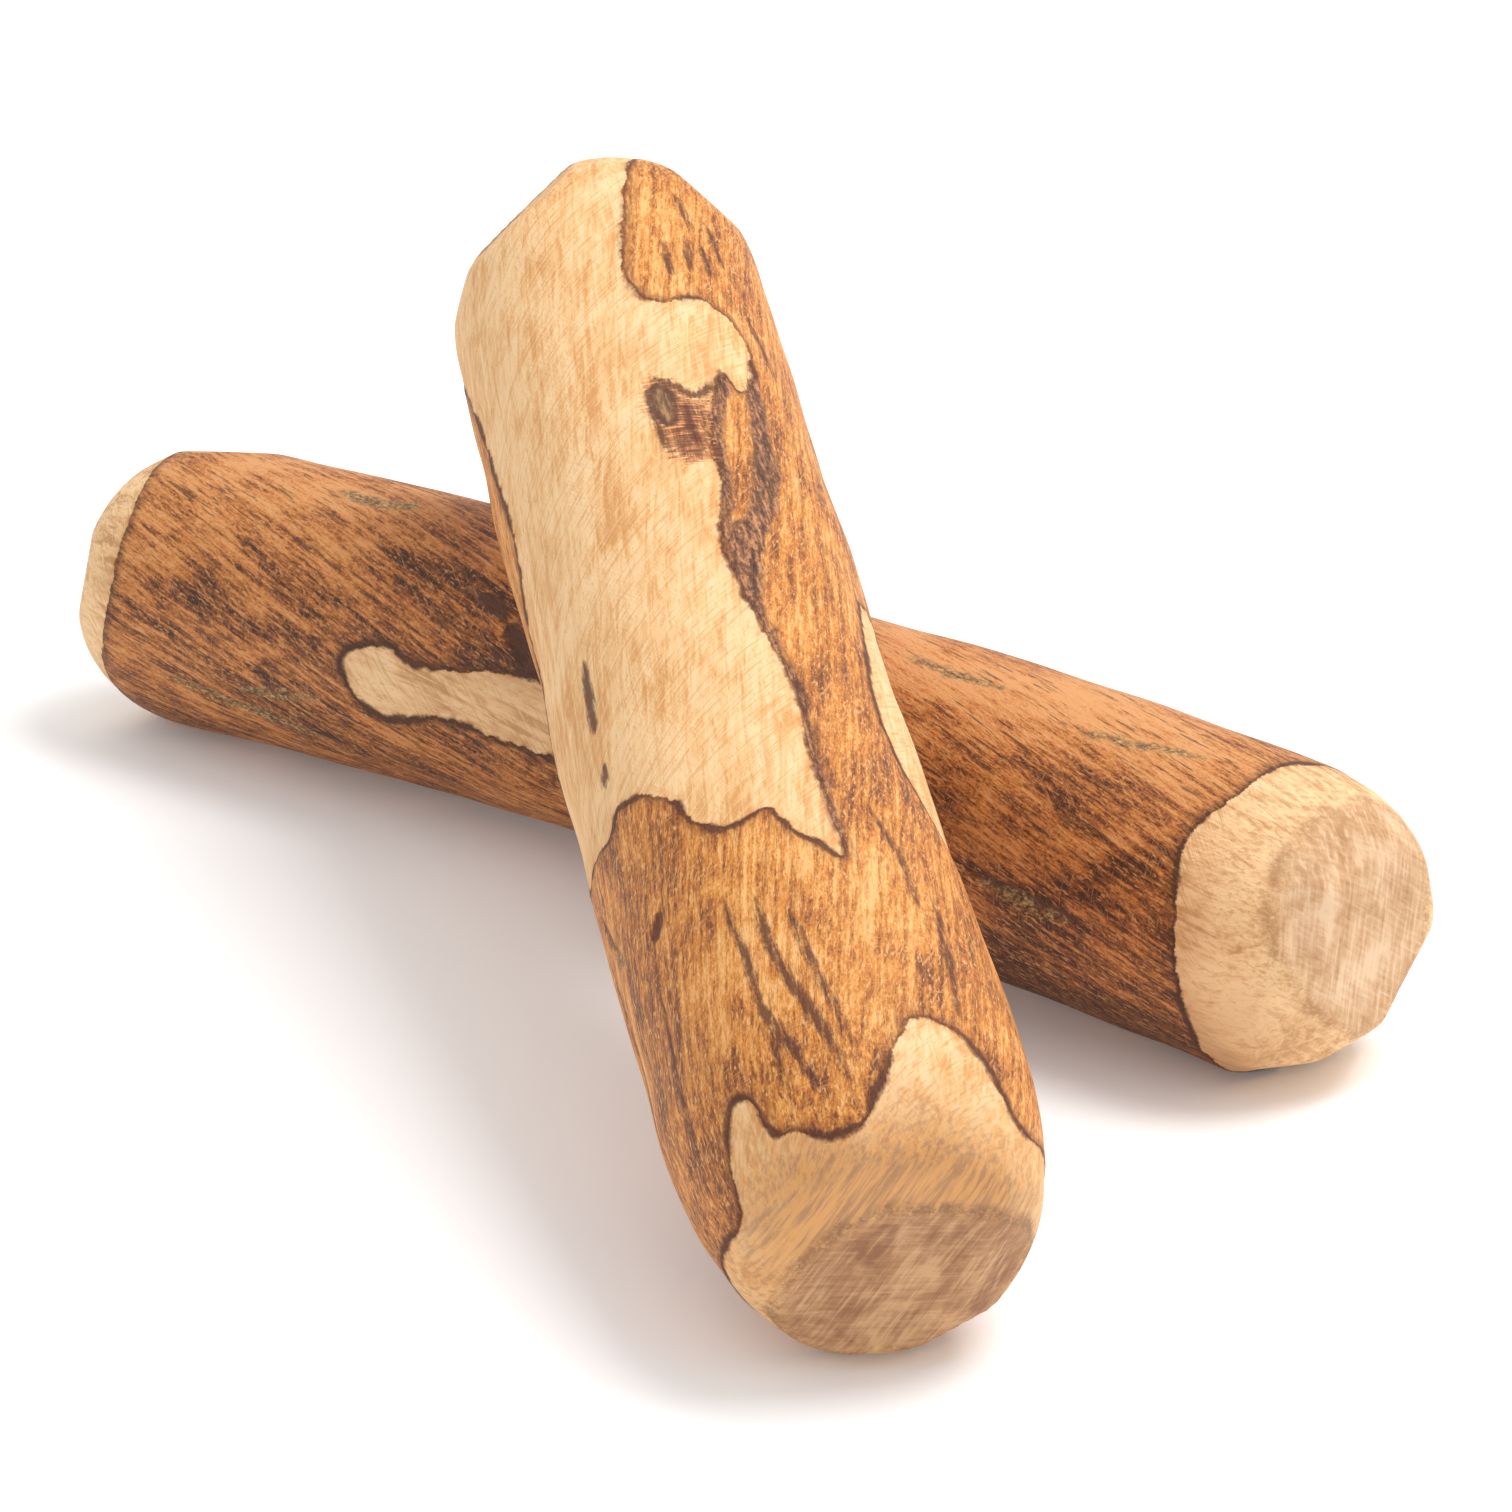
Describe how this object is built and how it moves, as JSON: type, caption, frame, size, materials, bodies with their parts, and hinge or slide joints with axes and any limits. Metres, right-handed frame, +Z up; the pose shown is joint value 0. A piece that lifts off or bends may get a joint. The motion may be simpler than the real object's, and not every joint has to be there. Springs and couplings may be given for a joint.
{
  "type": "pair of claves",
  "caption": "Thick hand-carved wooden striking sticks with domed, whittled ends, shown at rest with one leaning across the other.",
  "frame": {"origin": "middle of the bounding box of the pair, seen from above, at the level of the table", "axes": "+X runs along the lower clave, +Z is up"},
  "size_m": [0.22, 0.1362, 0.0875],
  "materials": {
    "lower_wood": "sanded smooth, brown inner bark left on, pale wood where it was carved, low sheen",
    "upper_wood": "sanded smooth, pale carved wood with patches of golden-brown inner bark, low sheen"
  },
  "bodies": {
    "lower": {"lower_clave": "lower_wood"},
    "upper": {"upper_clave": "upper_wood"}
  },
  "joints": [
    {"name": "upper_clave_lift", "type": "slide", "parent": "lower", "child": "upper", "axis": [0, 0, 1], "range_m": [0, 0.08]}
  ]
}
